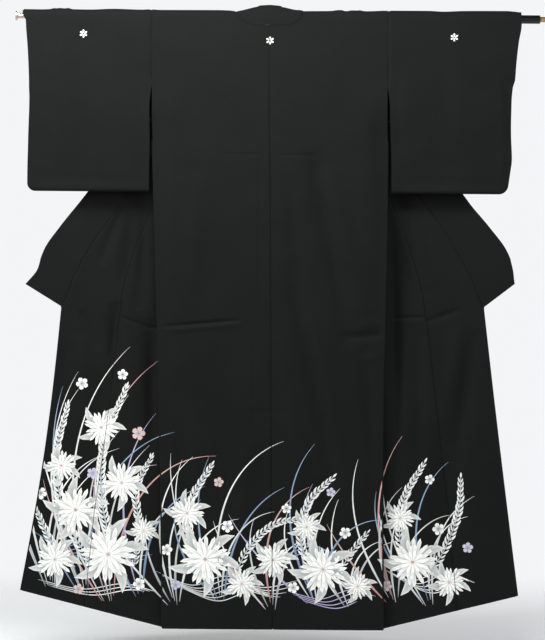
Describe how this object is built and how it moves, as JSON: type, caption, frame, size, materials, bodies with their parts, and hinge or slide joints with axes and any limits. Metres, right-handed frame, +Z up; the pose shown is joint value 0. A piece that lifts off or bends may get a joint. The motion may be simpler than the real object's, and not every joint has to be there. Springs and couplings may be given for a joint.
{
  "type": "kurotomesode on a hanging rod",
  "caption": "Formal black silk kimono hung by its sleeves on a straight rod, back to the viewer, fronts turned outwards behind it as open wings.",
  "frame": {"origin": "on the rod's axis, straight under the middle of the collar", "axes": "+X along the rod to the viewer's right as the back is seen, +Y away from that viewer, from the back to the fronts, +Z up"},
  "size_m": [1.4625, 0.0742, 1.6956],
  "materials": {
    "crepe": "matte silk crepe",
    "lacquer": "gloss black",
    "steel": "satin"
  },
  "bodies": {
    "root": {"body_left": "crepe", "body_right": "crepe", "overlap_panel_left": "crepe", "overlap_panel_right": "crepe", "sleeve_left": "crepe", "sleeve_right": "crepe", "collar_left": "crepe", "collar_right": "crepe", "over_collar": "crepe", "rod": "lacquer", "rod_stub_left": "steel", "rod_stub_right": "steel", "rod_cap_left": "steel", "rod_cap_right": "steel"}
  },
  "joints": []
}
